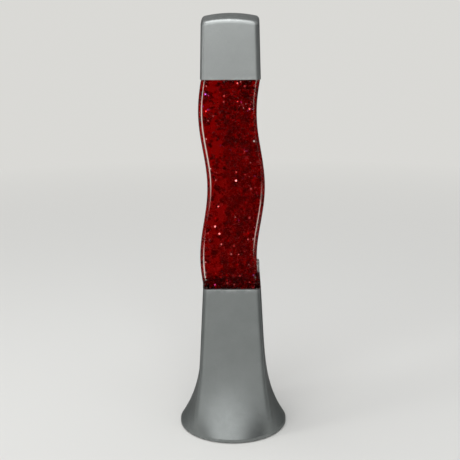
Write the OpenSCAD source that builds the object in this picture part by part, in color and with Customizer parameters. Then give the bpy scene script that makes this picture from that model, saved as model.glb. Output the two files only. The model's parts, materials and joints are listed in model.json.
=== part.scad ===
// Glitter lamp: a flared base with a bulb inside, a wavy clear vessel of dyed liquid
// and glitter that stands on the base, and a domed cap that lifts off the vessel.
// Millimetres, +Z up. The origin is on the table under the middle of the foot, and the
// front faces -Y. The vessel sways along X and bows towards +X at mid height.

/* [Vessel] */
// Width of the wavy body across its flat sides
vessel_w = 54; // [52:0.5:60]
// Visible height of the body between base and cap
vessel_h = 197.7; // [180:0.1:220]
// Radius of the body's upright corners
vessel_corner = 6; // [5:0.5:9]
// Thickness of the clear wall
vessel_wall = 3.6; // [3:0.1:5]
// Sideways swing of the wave to each side of its mean line
wave_swing = 4.1; // [2.5:0.1:5]
// Height of one full wave
wave_length = 138; // [125:1:160]
// Height of the straight foot collar of the vessel
collar_h = 15.5; // [12:0.5:20]
// How far the foot collar draws in from its lower to its upper edge
collar_draft = 1.3; // [0.8:0.1:1.8]
// How far the foot collar stands proud of the base on each side
collar_proud = 0.2; // [0:0.1:0.5]
// Thickness of the clear floor
floor_t = 2.5; // [2:0.1:4]
// Radius that rounds the floor and the ceiling of the cavity into its sides
cavity_round = 4.5; // [3:0.1:6]
// Radius of the cavity's upright corners
cavity_corner = 4; // [2.5:0.1:5]
// Depth of the plug below the body that drops into the base
skirt_h = 9; // [7:0.5:11]
// Wall of that plug
skirt_wall = 2.2; // [1.8:0.1:3]
// Play between the plug and the base
skirt_fit = 0.5; // [0.35:0.05:0.8]

/* [Vessel top] */
// Height of the square collar that carries the cap
head_h = 14; // [12:0.5:17]
// Thickness of the clear ceiling
ceiling_t = 4; // [3:0.1:5]
// Outer diameter of the filler neck
neck_d = 26; // [24:0.5:29]
// Bore of the filler neck
neck_bore = 20; // [17:0.5:21]
// Height of the filler neck
neck_h = 14; // [11:0.5:16]
// Air left over the liquid, under the ceiling
air_gap = 7; // [6:0.5:9]
// Play between the liquid and the wall
liquid_fit = 0.1; // [0.05:0.05:0.2]

/* [Filler cap] */
// Wall of the screw closure on the neck
closure_wall = 2; // [1.5:0.1:3]
// Thickness of the closure's top
closure_top = 2.2; // [1.6:0.1:3]
// Play between closure and neck
closure_fit = 0.15; // [0.1:0.05:0.3]
// Thickness of the sealing disc
seal_t = 1.5; // [1:0.1:2]
// Number of grip ribs round the closure
grip_ribs = 24; // [16:1:36]

/* [Cap] */
// Height of the cap from its lower edge to the crest of the dome
cap_h = 59; // [52:0.5:66]
// How far the cap stands proud of the vessel on each side
cap_proud = 0.7; // [0.4:0.1:1.2]
// How far each side leans in over the height of the cap
cap_lean = 1.2; // [0.8:0.1:1.6]
// Wall of the cap
cap_wall = 2; // [1.6:0.1:2.4]
// Radius of the cap's upright corners
cap_corner = 5; // [4:0.1:6.5]
// Radius of the dome from side to side
dome_across = 112; // [90:1:140]
// Radius of the dome from front to back
dome_along = 60; // [50:1:90]
// Radius that rounds the dome into the sides
dome_round = 3; // [2.6:0.1:3.6]
// Play between the cap and the collar of the vessel
cap_fit = 0.3; // [0.25:0.05:0.5]
// Gap between the cap and the vessel's shoulder
cap_seat = 0.3; // [0.2:0.05:0.5]

/* [Base] */
// Diameter of the round foot
foot_d = 106.8; // [102:0.2:116]
// Height of the rim that carries the vessel
rim_z = 148.2; // [142:0.2:156]
// How far the rim stands proud of the vessel on each side
rim_proud = 0.8; // [0.4:0.1:1.4]
// Radius of the upright corners at the rim
rim_corner = 5; // [4:0.5:8]
// Wall of the base
base_wall = 2.4; // [2:0.1:2.8]
// Lean of the four sides, in degrees
side_lean = 3.03; // [2.4:0.01:3.6]
// Height at which the flare towards the round foot starts
flare_z = 100; // [90:1:110]
// Sharpness of the flare
flare_power = 3.4; // [3:0.1:3.8]
// Height of the upright lip round the foot
lip_h = 3.4; // [3:0.1:5]
// Gap between the lip and the table
lip_gap = 1; // [0.6:0.1:1.4]
// Thickness of the rubber ring between base and vessel
gasket_t = 0.8; // [0.6:0.1:1.4]
// How far the rubber ring lies in from the outer edge of the rim
gasket_inset = 0.4; // [0.2:0.1:0.6]

/* [Bottom plate] */
// Thickness of the plate that closes the base
plate_t = 2.4; // [2:0.1:2.8]
// Play between the plate and the lip
plate_fit = 0.35; // [0.25:0.05:0.6]
// Distance of the screw pillars from the edge of the plate
pillar_inset = 7; // [6.5:0.1:8]
// Angle of the screw pillars from the X axis, in degrees
pillar_angle = 28; // [22:1:32]
// Diameter of the screw pillars
pillar_d = 8; // [7:0.1:9]
// Height of the screw pillars above the plate
pillar_h = 22; // [18:1:28]
// Core diameter of the plate screws
screw_d = 2.6; // [2.2:0.1:3]
// Length of the plate screws under their heads
screw_l = 12; // [9:0.5:16]
// Head diameter of the plate screws
screw_head_d = 5.4; // [4.8:0.1:6]
// Head height of the plate screws
screw_head_h = 1; // [0.8:0.1:1.1]
// How deep the screw heads lie below the face of the plate
screw_sink = 0.2; // [0.1:0.05:0.3]
// Width of a vent slot
vent_w = 3; // [2:0.1:3.5]
// Length of a vent slot
vent_l = 20; // [14:0.5:22]
// Number of vent slots
vent_count = 5; // [3:1:5]
// Spacing of the vent slots
vent_pitch = 7; // [6:0.1:7.5]
// Distance from the middle of the plate to the middle of the vent slots
vent_y = 25; // [22:0.5:27]
// Diameter of a rubber foot
pad_d = 12; // [9:0.5:13]
// Distance of the rubber feet from the edge of the plate
pad_inset = 12.6; // [11:0.1:15]
// Diameter of the standoffs on the plate
standoff_d = 9; // [8:0.1:10]
// Height of the standoffs on the plate
standoff_h = 4; // [3:0.1:6]

/* [Bulb] */
// Overall length of the bulb
bulb_l = 66; // [62:0.5:70]
// Largest diameter of the bulb
bulb_d = 39; // [36:0.5:41]
// Height from the tip to the widest place of the bulb
bulb_wide_z = 50; // [46:0.5:53]
// Wall of the glass
glass_t = 0.9; // [0.7:0.1:1.2]
// Outer diameter of the screw cap
bulb_cap_d = 13.4; // [13:0.1:13.8]
// Wall of the screw cap
bulb_cap_wall = 0.6; // [0.4:0.1:0.9]
// Height from the tip to the upper edge of the screw cap
bulb_cap_z = 20; // [18:0.5:22]
// Height of the black insulator above the tip contact
insulator_h = 3.3; // [2.6:0.1:4]
// Diameter of the tip contact
tip_d = 4.8; // [4:0.1:5.4]
// Height of the tip contact
tip_h = 1.2; // [0.9:0.1:1.6]
// Diameter of the glass stem that carries the filament
stem_d = 6; // [5:0.1:7]
// Half the distance between the filament's two posts
post_x = 2.1; // [1.6:0.1:2.3]
// Height of the filament's posts
post_h = 5; // [3:0.1:8]
// Thickness of the filament and its posts
filament_t = 0.9; // [0.7:0.1:1]
// Width of the slope at the edge of the tip contact
tip_slope = 0.6; // [0.3:0.1:0.9]
// Clear height between the bulb and the plug of the vessel
head_gap = 14; // [12:0.5:18]

/* [Lamp holder] */
// Outer diameter of the lamp holder
holder_d = 26; // [24:0.5:28]
// Depth of the bulb socket
socket_h = 20; // [18:0.5:22]
// Wall of the threaded metal sleeve
sleeve_wall = 0.5; // [0.4:0.1:0.8]
// Play between the bulb's cap and the sleeve
sleeve_fit = 0.3; // [0.2:0.05:0.4]
// Thickness of the floor under the socket
socket_floor = 2.6; // [2:0.1:4]
// Height of the terminal chamber
chamber_h = 6; // [5.5:0.1:8]
// Diameter of the terminal chamber
chamber_d = 15; // [14:0.1:17]
// Depth of the threaded hole in the underside
nipple_hole_h = 7.2; // [6:0.1:9]
// Height of the flange below the rim of the holder
flange_drop = 14; // [12:0.5:15]
// Diameter of the flange that carries the reflector
flange_d = 34; // [32:0.5:37]
// Thickness of that flange
flange_t = 2.5; // [2:0.1:3.5]
// Thickness of the contact spring
contact_t = 0.6; // [0.4:0.1:0.9]
// Width of the contact spring
contact_w = 5; // [4:0.1:6]
// Diameter of the rivet head on the contact spring
rivet_d = 4.6; // [4:0.1:5]
// Height of the rivet head on the contact spring
rivet_h = 0.8; // [0.6:0.1:1.2]
// Gap between the bulb's tip and the rivet head
contact_gap = 0.1; // [0.05:0.05:0.15]
// Height of a brass terminal in the chamber
terminal_h = 4; // [3:0.1:4.5]
// Width of a brass terminal
terminal_w = 4; // [3:0.1:4.4]
// Distance of each terminal's middle from the axis
terminal_x = 3.4; // [3:0.1:3.6]

/* [Reflector] */
// Sheet thickness of the reflector
reflector_t = 0.8; // [0.6:0.1:1]
// Air between the bulb and the reflector
reflector_gap = 2.2; // [1.8:0.1:2.8]
// How far the reflector stands above the bulb
reflector_over = 3; // [1:0.5:5]
// Width of the rolled lip
reflector_lip = 1.2; // [0.8:0.1:1.4]
// Height over which the reflector widens from its floor
reflector_bowl = 20; // [15:0.5:26]
// Height of the ring that clamps the reflector
ring_h = 6; // [5:0.1:8]
// Wall of that ring
ring_wall = 4.5; // [3.5:0.1:5.5]
// Play of the reflector and its ring round the holder
ring_fit = 0.2; // [0.1:0.05:0.4]

/* [Bracket] */
// Thickness of the bracket's steel strip
strip_t = 1.5; // [1.2:0.1:2]
// Width of the strip
strip_w = 14; // [12:0.5:17]
// Half the clear width between the legs
bracket_half = 19; // [17:0.5:22]
// Length of each foot of the bracket
bracket_foot = 13; // [11:0.5:14]
// Diameter of the bracket screws
bolt_d = 3; // [2.5:0.1:3.4]
// Length of the bracket screws under their heads
bolt_l = 5; // [4:0.1:5.4]
// Head diameter of the bracket screws
bolt_head_d = 5.6; // [5:0.1:6.4]
// Head height of the bracket screws
bolt_head_h = 2; // [1.6:0.1:2.6]
// Clearance of a screw in its hole
bolt_fit = 0.2; // [0.1:0.05:0.3]
// Outer diameter of the threaded tube under the holder
nipple_d = 10; // [9:0.1:11]
// Bore of the threaded tube
nipple_bore = 7; // [6.5:0.1:7.4]
// Length of the threaded tube below the bracket's bridge
nipple_drop = 7.5; // [6:0.1:9]
// Play round the threaded tube
nipple_fit = 0.1; // [0.05:0.05:0.2]
// Width of the lock nut across its flats
nut_w = 14; // [13:0.5:17]
// Height of the lock nut
nut_h = 4; // [3:0.1:5]

/* [Cord inlet] */
// Height of the inlet above the table
inlet_z = 9.4; // [9:0.1:10.4]
// Bore that the cord passes through
inlet_bore = 6.4; // [5.4:0.1:7]
// Width of the notch in the foot that the bushing fills
notch_w = 14.4; // [13:0.1:16]
// Height of the notch above the middle of the inlet
notch_up = 8.8; // [8:0.1:10]
// Radius of the notch's upper corners
notch_round = 3; // [1:0.1:4]
// Play between the bushing and its notch
bushing_fit = 0.15; // [0.1:0.05:0.3]
// How far the bushing's flange reaches past the notch inside the base
flange_over = 2.5; // [2:0.1:4]
// Thickness of that flange
bushing_flange_t = 2; // [1.5:0.1:2.6]
// How far the bushing's face lies in from the edge of the foot
bushing_inset = 0.4; // [0.2:0.1:1]

/* [Terminal block] */
// Distance of the block's middle behind the axis
block_y = 24; // [22:0.5:26]
// Length of the block along the leads
block_l = 16; // [14:0.5:17]
// Spacing of the two poles
pole_pitch = 14; // [13:0.5:16]
// Width of one pole
pole_w = 8; // [7:0.1:9]
// Height of a pole
pole_h = 13; // [12:0.1:15]
// Height of the web between the poles
web_h = 5; // [4:0.1:6]
// Height of the lead holes above the underside of the block
lead_hole_z = 5; // [4:0.1:5.4]
// Outer diameter of the brass barrels
barrel_d = 4.8; // [4.4:0.1:5.2]
// Bore of the brass barrels
barrel_bore = 3.2; // [2.8:0.1:3.4]
// Diameter of the clamping screws
clamp_d = 3; // [2.6:0.1:3.4]
// Height of the clamping screws
clamp_h = 4.6; // [4:0.1:5]
// Play round barrels and clamping screws
clamp_fit = 0.1; // [0.05:0.05:0.2]
// Height of the clamping screws above the lead
clamp_gap = 0.2; // [0.1:0.05:0.3]
// Distance of each clamping screw from the middle of the block
clamp_y = 4.5; // [4:0.1:5]
// Length of the screw that holds the block, under its head
block_bolt_l = 8; // [7:0.1:8.8]

/* [Leads] */
// Diameter of an insulated lead
lead_d = 2.2; // [1.8:0.1:2.4]
// Distance of each lead from the axis inside the threaded tube
lead_x = 1.6; // [1.4:0.05:1.7]
// Length of lead that sits in the block
lead_in = 6; // [5:0.1:7]
// How far each lead runs on from the block before it bends up
lead_reach = 11; // [8:0.5:13]

/* [Glitter] */
// Width of a flake
flake_d = 2.2; // [1.4:0.1:2.6]
// Thickness of a flake
flake_t = 0.15; // [0.1:0.01:0.3]
// Number of flakes across each layer
flake_rows = 3; // [2:1:4]
// Number of layers of flakes
flake_layers = 18; // [12:1:24]
// Number that starts the scatter
flake_seed = 7; // [1:1:99]

/* [Hidden] */
$fn = 64;
// Overlap that lets cuts run clear of a face and joined solids run into each other
over = 1;
// Play between pieces that are pressed or cemented together
snug = 0.1;
// Smallest corner radius of a ring
least_corner = 1;
// Points in each corner of a square ring, and steps along each side of the dome
corner_steps = 7;
side_steps = 4;
// Rays from a corner of the base to the middle of a side, which crowd towards the corner
ray_steps = 8;
ray_crowding = 1.6;
// Rings along the wavy body and the flare, which crowd towards the foot, and round edges
wave_rings = 26;
flare_rings = 20;
ring_crowding = 1.4;
round_rings = 4;
dome_rings = 5;
// Steps of a turned curve
turn_steps = 12;

// Levels, from the table up
lip_top = lip_gap + lip_h;
plate_z = lip_top - plate_t;
plate_top = lip_top;
seat_z = rim_z + gasket_t;
shoulder_z = seat_z + vessel_h;
head_top = shoulder_z + head_h;
cavity_top = head_top - ceiling_t;
liquid_top = cavity_top - air_gap;
neck_top = head_top + neck_h;
cap_z = shoulder_z + cap_seat;
cap_top = cap_z + cap_h;
skirt_bottom = seat_z - skirt_h;
cavity_floor = skirt_bottom + floor_t;
bulb_top = skirt_bottom - head_gap;
tip_z = bulb_top - bulb_l;
contact_top = tip_z - contact_gap;
socket_z = contact_top - rivet_h - contact_t;
holder_top = socket_z + socket_h;
chamber_top = socket_z - socket_floor;
chamber_z = chamber_top - chamber_h;
holder_z = chamber_z - nipple_hole_h;
flange_top = holder_top - flange_drop;
standoff_top = plate_top + standoff_h;
terminal_z = chamber_top - terminal_h;

// Half widths and radii
vessel_half = vessel_w / 2;
cavity_half = vessel_half - vessel_wall;
rim_half = vessel_half + rim_proud;
collar_half = rim_half + collar_proud;
skirt_half = rim_half - base_wall - skirt_fit;
skirt_corner = max(rim_corner - base_wall - skirt_fit, least_corner);
plug_half = min(skirt_half - skirt_wall, cavity_half);
cap_half = vessel_half + cap_proud;
foot_r = foot_d / 2;
bore_r = foot_r - base_wall;
plate_r = bore_r - plate_fit;
bulb_r = bulb_d / 2;
neck_r = bulb_cap_d / 2 - bulb_cap_wall - snug;
sleeve_r = bulb_cap_d / 2 + sleeve_fit;
socket_r = sleeve_r + sleeve_wall + snug;
reflector_r = bulb_r + reflector_gap + reflector_t;
pillar_ring = plate_r - pillar_inset;
pad_ring = plate_r - pad_inset;
closure_r = neck_d / 2 + closure_fit + closure_wall;
nipple_z = holder_z - nipple_drop;
block_z = standoff_top;
lead_z = block_z + lead_hole_z;
bracket_bolt_x = bracket_half + strip_t + bracket_foot / 2;

// Sideways place of the wavy body's middle at height z, nought at both of its ends
function sway(z) =
    wave_swing * (cos(360 * (z - seat_z - vessel_h / 2) / wave_length)
                  - cos(180 * vessel_h / wave_length));

// Share of the way from the square sides to the round foot, and its effect on the section
function flare(z) = pow(max(0, flare_z - z) / (flare_z - lip_top), flare_power);
function lean(z) = tan(side_lean) * (rim_z - z);
flare_out = foot_r - rim_half - lean(lip_top);
function base_half(z) = rim_half + lean(z) + flare_out * flare(z);
function base_slope(z) = base_half(z - 0.5) - base_half(z + 0.5);
function base_inset(z) = base_wall * sqrt(1 + pow(base_slope(z), 2));

// One level ring of a square with rounded corners
function ring(half, r, z, dx = 0) = [
    for (k = [0 : 3], i = [0 : corner_steps - 1])
        let (a = 90 * (k + (i + 0.5) / corner_steps),
             sx = (k == 0 || k == 3) ? 1 : -1,
             sy = k < 2 ? 1 : -1)
            [dx + sx * (half - r) + r * cos(a), sy * (half - r) + r * sin(a), z]
];

// Rounded end of a cavity: rings that turn from its floor into its sides
function round_end(half, corner, level, way, grow) = [
    for (i = [0 : round_rings])
        let (a = 90 * i / round_rings,
             pull = cavity_round * (1 - sin(a)),
             z = level + way * cavity_round * (1 - cos(a)))
            ring(half - pull - grow, max(corner - pull / 2 - grow, least_corner), z + way * grow, sway_held(z))
];
function sway_held(z) = z > shoulder_z || z < seat_z ? 0 : sway(z);
function backwards(list) = [for (i = [len(list) - 1 : -1 : 0]) list[i]];

// Solid skin over a stack of rings, with flat ends or with the last ring joined to the first
module skin(rings, loop = false) {
    n = len(rings[0]);
    m = len(rings);
    ends = [[for (i = [0 : n - 1]) i], [for (i = [n - 1 : -1 : 0]) (m - 1) * n + i]];
    polyhedron(
        points = [for (one = rings) each one],
        faces = concat(
            loop ? [] : ends,
            [for (j = [0 : loop ? m - 1 : m - 2], i = [0 : n - 1], half = [0, 1])
                let (next = (i + 1) % n, low = j * n, high = ((j + 1) % m) * n)
                    half == 0 ? [low + i, high + i, high + next]
                              : [low + i, high + next, low + next]]));
}

// Flat square with rounded corners
module rounded_square(half, r) {
    square([2 * half, 2 * (half - r)], center = true);
    square([2 * (half - r), 2 * half], center = true);
    for (sx = [-1, 1], sy = [-1, 1])
        translate([sx * (half - r), sy * (half - r)])
            circle(r);
}

module square_post(half, r, z, h)
    translate([0, 0, z])
        linear_extrude(h)
            rounded_square(half, r);

// Tube from z upwards
module tube(r_out, r_in, z, h)
    translate([0, 0, z])
        difference() {
            cylinder(r = r_out, h = h);
            translate([0, 0, -over])
                cylinder(r = r_in, h = h + 2 * over);
        }

module rod(r, z, h)
    translate([0, 0, z])
        cylinder(r = r, h = h);

// Copies at four places, mirrored in X and Y, on a circle of radius r
module on_circle(r, angle)
    for (a = [angle, 180 - angle, 180 + angle, 360 - angle])
        rotate(a)
            translate([r, 0, 0])
                children();

// Cap

// How far the dome has fallen from its crest
function dome_fall(x, y) = x * x / (2 * dome_across) + y * y / (2 * dome_along);

// A ring with more points along its sides, for the dome to follow, that starts in mid corner
function with_sides(points) = [
    for (k = [0 : len(points) - 1])
        let (i = (k + floor(corner_steps / 2)) % len(points),
             next = points[(i + 1) % len(points)],
             count = (i + 1) % corner_steps == 0 ? side_steps : 1)
            for (j = [0 : count - 1])
                points[i] + (next - points[i]) * j / count
];

// Rings up the cap, a little inside its outer face
function cap_rings(inset) =
    let (half_top = cap_half - cap_lean - inset,
         corner = cap_corner - inset,
         crest = cap_top - inset,
         edge = dome_round - inset,
         outline = with_sides(ring(half_top, corner, 0)))
        concat(
            [with_sides(ring(cap_half - inset, corner, cap_z))],
            [for (i = [0 : round_rings])
                let (a = 90 * i / round_rings)
                    dome_ring(outline, 1 - edge * (1 - cos(a)) / half_top, crest - edge * (1 - sin(a)))],
            [for (i = [1 : dome_rings - 1])
                dome_ring(outline, (1 - edge / half_top) * (1 - i / dome_rings), crest)]);
function dome_ring(outline, share, crest) =
    let (level = share < 1.5 / dome_rings)
        [for (p = outline)
            [share * p[0], share * p[1],
             crest - dome_fall(share * (level ? outline[0][0] : p[0]), level ? 0 : share * p[1])]];

// Shell from the inside's top, down to the lower edge, round it and up to the crest
module top_cap()
    color([0.66, 0.69, 0.68])
        skin(concat(backwards(cap_rings(cap_wall)), cap_rings(0)));

// Vessel and what it holds

head_half = cap_half - cap_lean * (head_top - cap_z) / cap_h - cap_wall - cap_fit;
head_corner = cap_corner - cap_wall - cap_fit;

module vessel()
    color([0.9, 0.85, 0.86, 0.4])
        difference() {
            union() {
                skin([for (i = [0 : wave_rings])
                    let (z = seat_z + vessel_h * i / wave_rings)
                        ring(vessel_half, vessel_corner, z, sway(z))]);
                skin([ring(collar_half, rim_corner, seat_z),
                      ring(collar_half - collar_draft, rim_corner, seat_z + collar_h)]);
                square_post(skirt_half, skirt_corner, skirt_bottom, skirt_h + over);
                square_post(head_half, head_corner, shoulder_z - over, head_h + over);
                rod(neck_d / 2, head_top - over, neck_h + over);
            }
            skin(cavity_rings(0, cavity_top));
            rod(neck_bore / 2, cavity_top - over, neck_h + ceiling_t + 2 * over);
        }

// Rings of the cavity from its floor in the plug, drawn in by grow all round, up to the height top
function cavity_rings(grow, top) =
    let (low = cavity_floor + cavity_round + over)
        concat(
            round_end(plug_half, cavity_corner, cavity_floor, 1, grow),
            [for (i = [0 : wave_rings])
                let (z = seat_z + vessel_h * i / wave_rings)
                    if (z > low && z < top)
                        ring(cavity_half - grow, cavity_corner - grow, z, sway(z))],
            top == cavity_top
                ? backwards(round_end(cavity_half, cavity_corner, cavity_top, -1, grow))
                : [ring(cavity_half - grow, cavity_corner - grow, top, sway_held(top))]);

module liquid()
    color([0.55, 0.01, 0.03, 0.85])
        skin(cavity_rings(liquid_fit, liquid_top));

// Flakes scattered one to a cell, so that no two of them meet
module glitter() {
    reach = cavity_half - liquid_fit - flake_d;
    cell = 2 * reach / flake_rows;
    low = max(cavity_floor + cavity_round, seat_z);
    storey = (liquid_top - flake_d - low) / flake_layers;
    count = flake_rows * flake_rows * flake_layers;
    spin = rands(0, 360, 3 * count, flake_seed);
    shift = rands(-0.5, 0.5, 3 * count, flake_seed + 1);
    color([0.95, 0.75, 0.8])
        for (i = [0 : flake_rows - 1], j = [0 : flake_rows - 1], k = [0 : flake_layers - 1]) {
            at = 3 * (i + flake_rows * (j + flake_rows * k));
            z = low + storey * (k + 0.5) + shift[at + 2] * (storey - flake_d);
            translate([sway(z) - reach + cell * (i + 0.5) + shift[at] * (cell - flake_d),
                       -reach + cell * (j + 0.5) + shift[at + 1] * (cell - flake_d), z])
                rotate([spin[at], spin[at + 1], spin[at + 2]])
                    cylinder(d = flake_d, h = flake_t, center = true, $fn = 6);
        }
}

// Screw closure with grip ribs, turned down on the neck
module filler_cap() {
    low = head_top + over;
    top = neck_top + seal_t;
    color([0.12, 0.12, 0.13]) {
        tube(closure_r, neck_d / 2 + closure_fit, low, top - low);
        rod(closure_r, top, closure_top);
        for (i = [0 : grip_ribs - 1])
            rotate(360 * i / grip_ribs)
                translate([closure_r - closure_wall / 2, -closure_wall / 4, low])
                    cube([closure_wall, closure_wall / 2, top - low]);
    }
}

module filler_seal()
    color([0.85, 0.84, 0.8])
        rod(neck_d / 2, neck_top, seal_t);

// Base

notch_top = inlet_z + notch_up;
grip_top = notch_top + flange_over;
flange_half = notch_w / 2 + flange_over;
inner_half = base_half(grip_top) - base_inset(grip_top);
inner_bow = flare(grip_top) * (inner_half - sqrt(pow(inner_half, 2) - pow(flange_half, 2)));
flange_y = inner_half - inner_bow - bushing_fit;

// Level bar from y towards the back, drawn across X and Z
module bar_y(y, l)
    translate([0, y + l, 0])
        rotate([90, 0, 0])
            linear_extrude(l)
                children();

// Upright tongue with rounded upper corners
module tongue(half, low, top) {
    translate([-half, low])
        square([2 * half, top - low - notch_round]);
    translate([notch_round - half, low])
        square([2 * (half - notch_round), top - low]);
    for (side = [-1, 1])
        translate([side * (half - notch_round), top - notch_round])
            circle(notch_round);
}

// Angles of the rays from the axis, first the one through the middle of a corner
ray_angles = [
    for (k = [0 : 3], i = [0 : 2 * ray_steps - 1])
        let (u = i / ray_steps,
             turn = u < 1 ? pow(u, ray_crowding) : 2 - pow(2 - u, ray_crowding))
            90 * k + 45 + 45 * turn
];

// Length of a ray from the axis to a square with rounded corners
function ray_length(half, r, a) =
    let (t = 45 - abs(a % 90 - 45), c = half - r)
        half * tan(t) <= c ? half / cos(t)
                           : c * (cos(t) + sin(t)) + sqrt(r * r - pow(c * (cos(t) - sin(t)), 2));

// Section of the base, a share of the way from a rounded square to a circle of its width
function section(half, share, z, inset = 0) =
    let (r = max(rim_corner - inset, least_corner))
        [for (a = ray_angles)
            let (d = (1 - share) * ray_length(half - inset, r, a) + share * (half - inset))
                [d * cos(a), d * sin(a), z]];

// Section at height z, a share of the wall's thickness inside its outer face
function base_ring(z, depth) = section(base_half(z), flare(z), z, depth * base_inset(z));
function base_levels() = [
    for (i = [0 : flare_rings])
        lip_top + (rim_z - lip_top) * pow(i / flare_rings, ring_crowding)
];

// Rings up the outside, over the rim, down the inside and round the ledge above the bottom plate
function base_rings() = concat(
    [section(foot_r, 1, lip_gap)],
    [for (z = base_levels()) base_ring(z, 0)],
    [for (z = backwards(base_levels())) base_ring(z, 1)],
    [section(bore_r, 1, lip_top), section(bore_r, 1, lip_gap)]);

// Pillars for the plate's screws run up into the middle of the wall
module base_pillars()
    intersection() {
        on_circle(pillar_ring, pillar_angle)
            rod(pillar_d / 2, plate_top, pillar_h);
        skin([for (z = concat([lip_top - over], base_levels()))
            if (z < plate_top + 2 * pillar_h)
                base_ring(z, 0.5)]);
    }

module base_shell()
    color([0.6, 0.63, 0.62])
        difference() {
            union() {
                skin(base_rings(), true);
                base_pillars();
            }
            bar_y(flange_y, foot_r)
                tongue(notch_w / 2, 0, notch_top);
            on_circle(pillar_ring, pillar_angle)
                rod(screw_d / 2 + bolt_fit, plate_top - over, screw_l + over);
        }

module seat_gasket()
    color([0.05, 0.05, 0.05])
        translate([0, 0, rim_z])
            linear_extrude(gasket_t)
                difference() {
                    rounded_square(rim_half - gasket_inset, rim_corner - gasket_inset);
                    rounded_square(rim_half - base_wall + snug, rim_corner - base_wall + snug);
                }

// Bottom plate and its fixings

plate_web = plate_t - screw_head_h - screw_sink;

module bottom_plate()
    color([0.1, 0.1, 0.11])
        difference() {
            union() {
                rod(plate_r, plate_z, plate_t);
                for (x = [-bracket_bolt_x, bracket_bolt_x])
                    translate([x, 0, 0])
                        rod(standoff_d / 2, plate_z, plate_t + standoff_h);
                translate([0, block_y, 0])
                    rod(standoff_d / 2, plate_z, plate_t + standoff_h);
            }
            on_circle(pillar_ring, pillar_angle) {
                rod(screw_d / 2 + bolt_fit, plate_z - over, plate_t + 2 * over);
                rod(screw_head_d / 2 + bolt_fit, plate_z - over, plate_t - plate_web + over);
            }
            for (x = [-bracket_bolt_x, bracket_bolt_x])
                translate([x, 0, 0])
                    rod(bolt_d / 2 + bolt_fit, standoff_top - bolt_l, bolt_l + over);
            translate([0, block_y, 0])
                rod(bolt_d / 2 + bolt_fit, standoff_top - bolt_l, bolt_l + over);
            for (i = [0 : vent_count - 1])
                translate([vent_pitch * (i - (vent_count - 1) / 2), -vent_y, plate_z - over])
                    linear_extrude(plate_t + 2 * over)
                        vent_slot();
        }

module vent_slot() {
    run = vent_l - vent_w;
    square([vent_w, run], center = true);
    for (y = [-run / 2, run / 2])
        translate([0, y])
            circle(d = vent_w);
}

// Headed screw whose head rests on z, pointing up or down
module screw(d, l, head_d, head_h, z, up) {
    rod(d / 2, up ? z : z - l, l);
    rod(head_d / 2, up ? z - head_h : z, head_h);
}

module plate_screws()
    color([0.7, 0.7, 0.68])
        on_circle(pillar_ring, pillar_angle)
            screw(screw_d, screw_l - over, screw_head_d, screw_head_h, plate_top - plate_web, true);

module rubber_feet()
    color([0.04, 0.04, 0.04])
        on_circle(pad_ring, 45)
            rod(pad_d / 2, 0, plate_z);

// Block that fills the notch, stands on the plate and grips the wall with a flange inside
module cord_bushing() {
    half = notch_w / 2 - bushing_fit;
    low = plate_top + snug;
    face_y = foot_r - bushing_inset;
    color([0.06, 0.06, 0.06])
        difference() {
            union() {
                bar_y(flange_y, face_y - flange_y)
                    tongue(half, low, notch_top - bushing_fit);
                bar_y(bore_r, face_y - bore_r)
                    tongue(half, lip_gap + bushing_fit, notch_top - bushing_fit);
                bar_y(flange_y - bushing_flange_t, bushing_flange_t)
                    tongue(flange_half, low, grip_top);
            }
            bar_y(0, foot_r + over)
                translate([0, inlet_z])
                    circle(d = inlet_bore);
        }
}

// Bracket, threaded tube and nut

module holder_bracket()
    color([0.62, 0.62, 0.6]) {
        difference() {
            translate([-bracket_half - strip_t, -strip_w / 2, holder_z - strip_t])
                cube([2 * (bracket_half + strip_t), strip_w, strip_t]);
            rod(nipple_d / 2 + nipple_fit, holder_z - strip_t - over, strip_t + 2 * over);
        }
        for (side = [0, 180])
            rotate(side) {
                translate([bracket_half, -strip_w / 2, standoff_top])
                    cube([strip_t, strip_w, holder_z - standoff_top]);
                difference() {
                    translate([bracket_half, -strip_w / 2, standoff_top])
                        cube([strip_t + bracket_foot, strip_w, strip_t]);
                    translate([bracket_bolt_x, 0, 0])
                        rod(bolt_d / 2 + bolt_fit, standoff_top - over, strip_t + 2 * over);
                }
            }
    }

module bracket_screws()
    color([0.75, 0.75, 0.72])
        for (x = [-bracket_bolt_x, bracket_bolt_x])
            translate([x, 0, 0])
                screw(bolt_d, bolt_l, bolt_head_d, bolt_head_h, standoff_top + strip_t, false);

module threaded_nipple()
    color([0.75, 0.68, 0.45])
        tube(nipple_d / 2, nipple_bore / 2, nipple_z, nipple_drop + nipple_hole_h - 2 * snug);

module nipple_nut()
    color([0.78, 0.72, 0.5])
        difference() {
            translate([0, 0, holder_z - strip_t - nut_h])
                cylinder(d = nut_w / cos(30), h = nut_h, $fn = 6);
            rod(nipple_d / 2 + nipple_fit, holder_z - strip_t - nut_h - over, nut_h + 2 * over);
        }

// Lamp holder

module lamp_holder()
    color([0.9, 0.88, 0.82])
        difference() {
            union() {
                rod(holder_d / 2, holder_z, holder_top - holder_z);
                rod(flange_d / 2, flange_top - flange_t, flange_t);
            }
            rod(socket_r, socket_z, socket_h + over);
            rod(chamber_d / 2, chamber_z, chamber_h);
            rod(nipple_d / 2 + nipple_fit, holder_z - over, nipple_hole_h + 2 * over);
        }

module holder_sleeve()
    color([0.8, 0.74, 0.5])
        tube(sleeve_r + sleeve_wall, sleeve_r, socket_z, socket_h - over);

module holder_contact()
    color([0.8, 0.66, 0.4]) {
        translate([-sleeve_r + contact_t, -contact_w / 2, socket_z])
            cube([2 * (sleeve_r - contact_t), contact_w, contact_t]);
        rod(rivet_d / 2, socket_z, contact_t + rivet_h);
    }

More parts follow.
